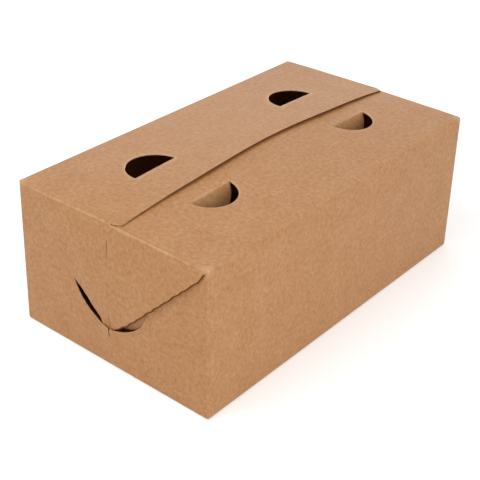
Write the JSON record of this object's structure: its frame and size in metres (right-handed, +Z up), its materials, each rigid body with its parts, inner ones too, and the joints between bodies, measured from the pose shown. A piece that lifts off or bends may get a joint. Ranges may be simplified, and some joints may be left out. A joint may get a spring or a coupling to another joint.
{
  "type": "takeaway food box",
  "caption": "Oblong takeaway food box folded from brown kraft board, with crowned overlapping top panels, half-moon vents and triangular end flaps that lift out of curved slits.",
  "frame": {"origin": "centre of the base, on the surface the box stands on", "axes": "+X along the length towards the right end flap, +Y towards the back wall, +Z up"},
  "size_m": [0.1906, 0.11, 0.0786],
  "materials": {
    "kraft_board": "uncoated matte"
  },
  "bodies": {
    "carton": {"carton": "kraft_board"},
    "left_flap": {"left_end_flap": "kraft_board"},
    "right_flap": {"right_end_flap": "kraft_board"}
  },
  "joints": [
    {"name": "left_flap_lift", "type": "hinge", "parent": "carton", "child": "left_flap", "pos_m": [-0.0953, 0, 0.072], "axis": [0, 1, 0], "range_deg": [0, 90]},
    {"name": "right_flap_lift", "type": "hinge", "parent": "carton", "child": "right_flap", "pos_m": [0.0953, 0, 0.072], "axis": [0, -1, 0], "range_deg": [0, 90]}
  ]
}
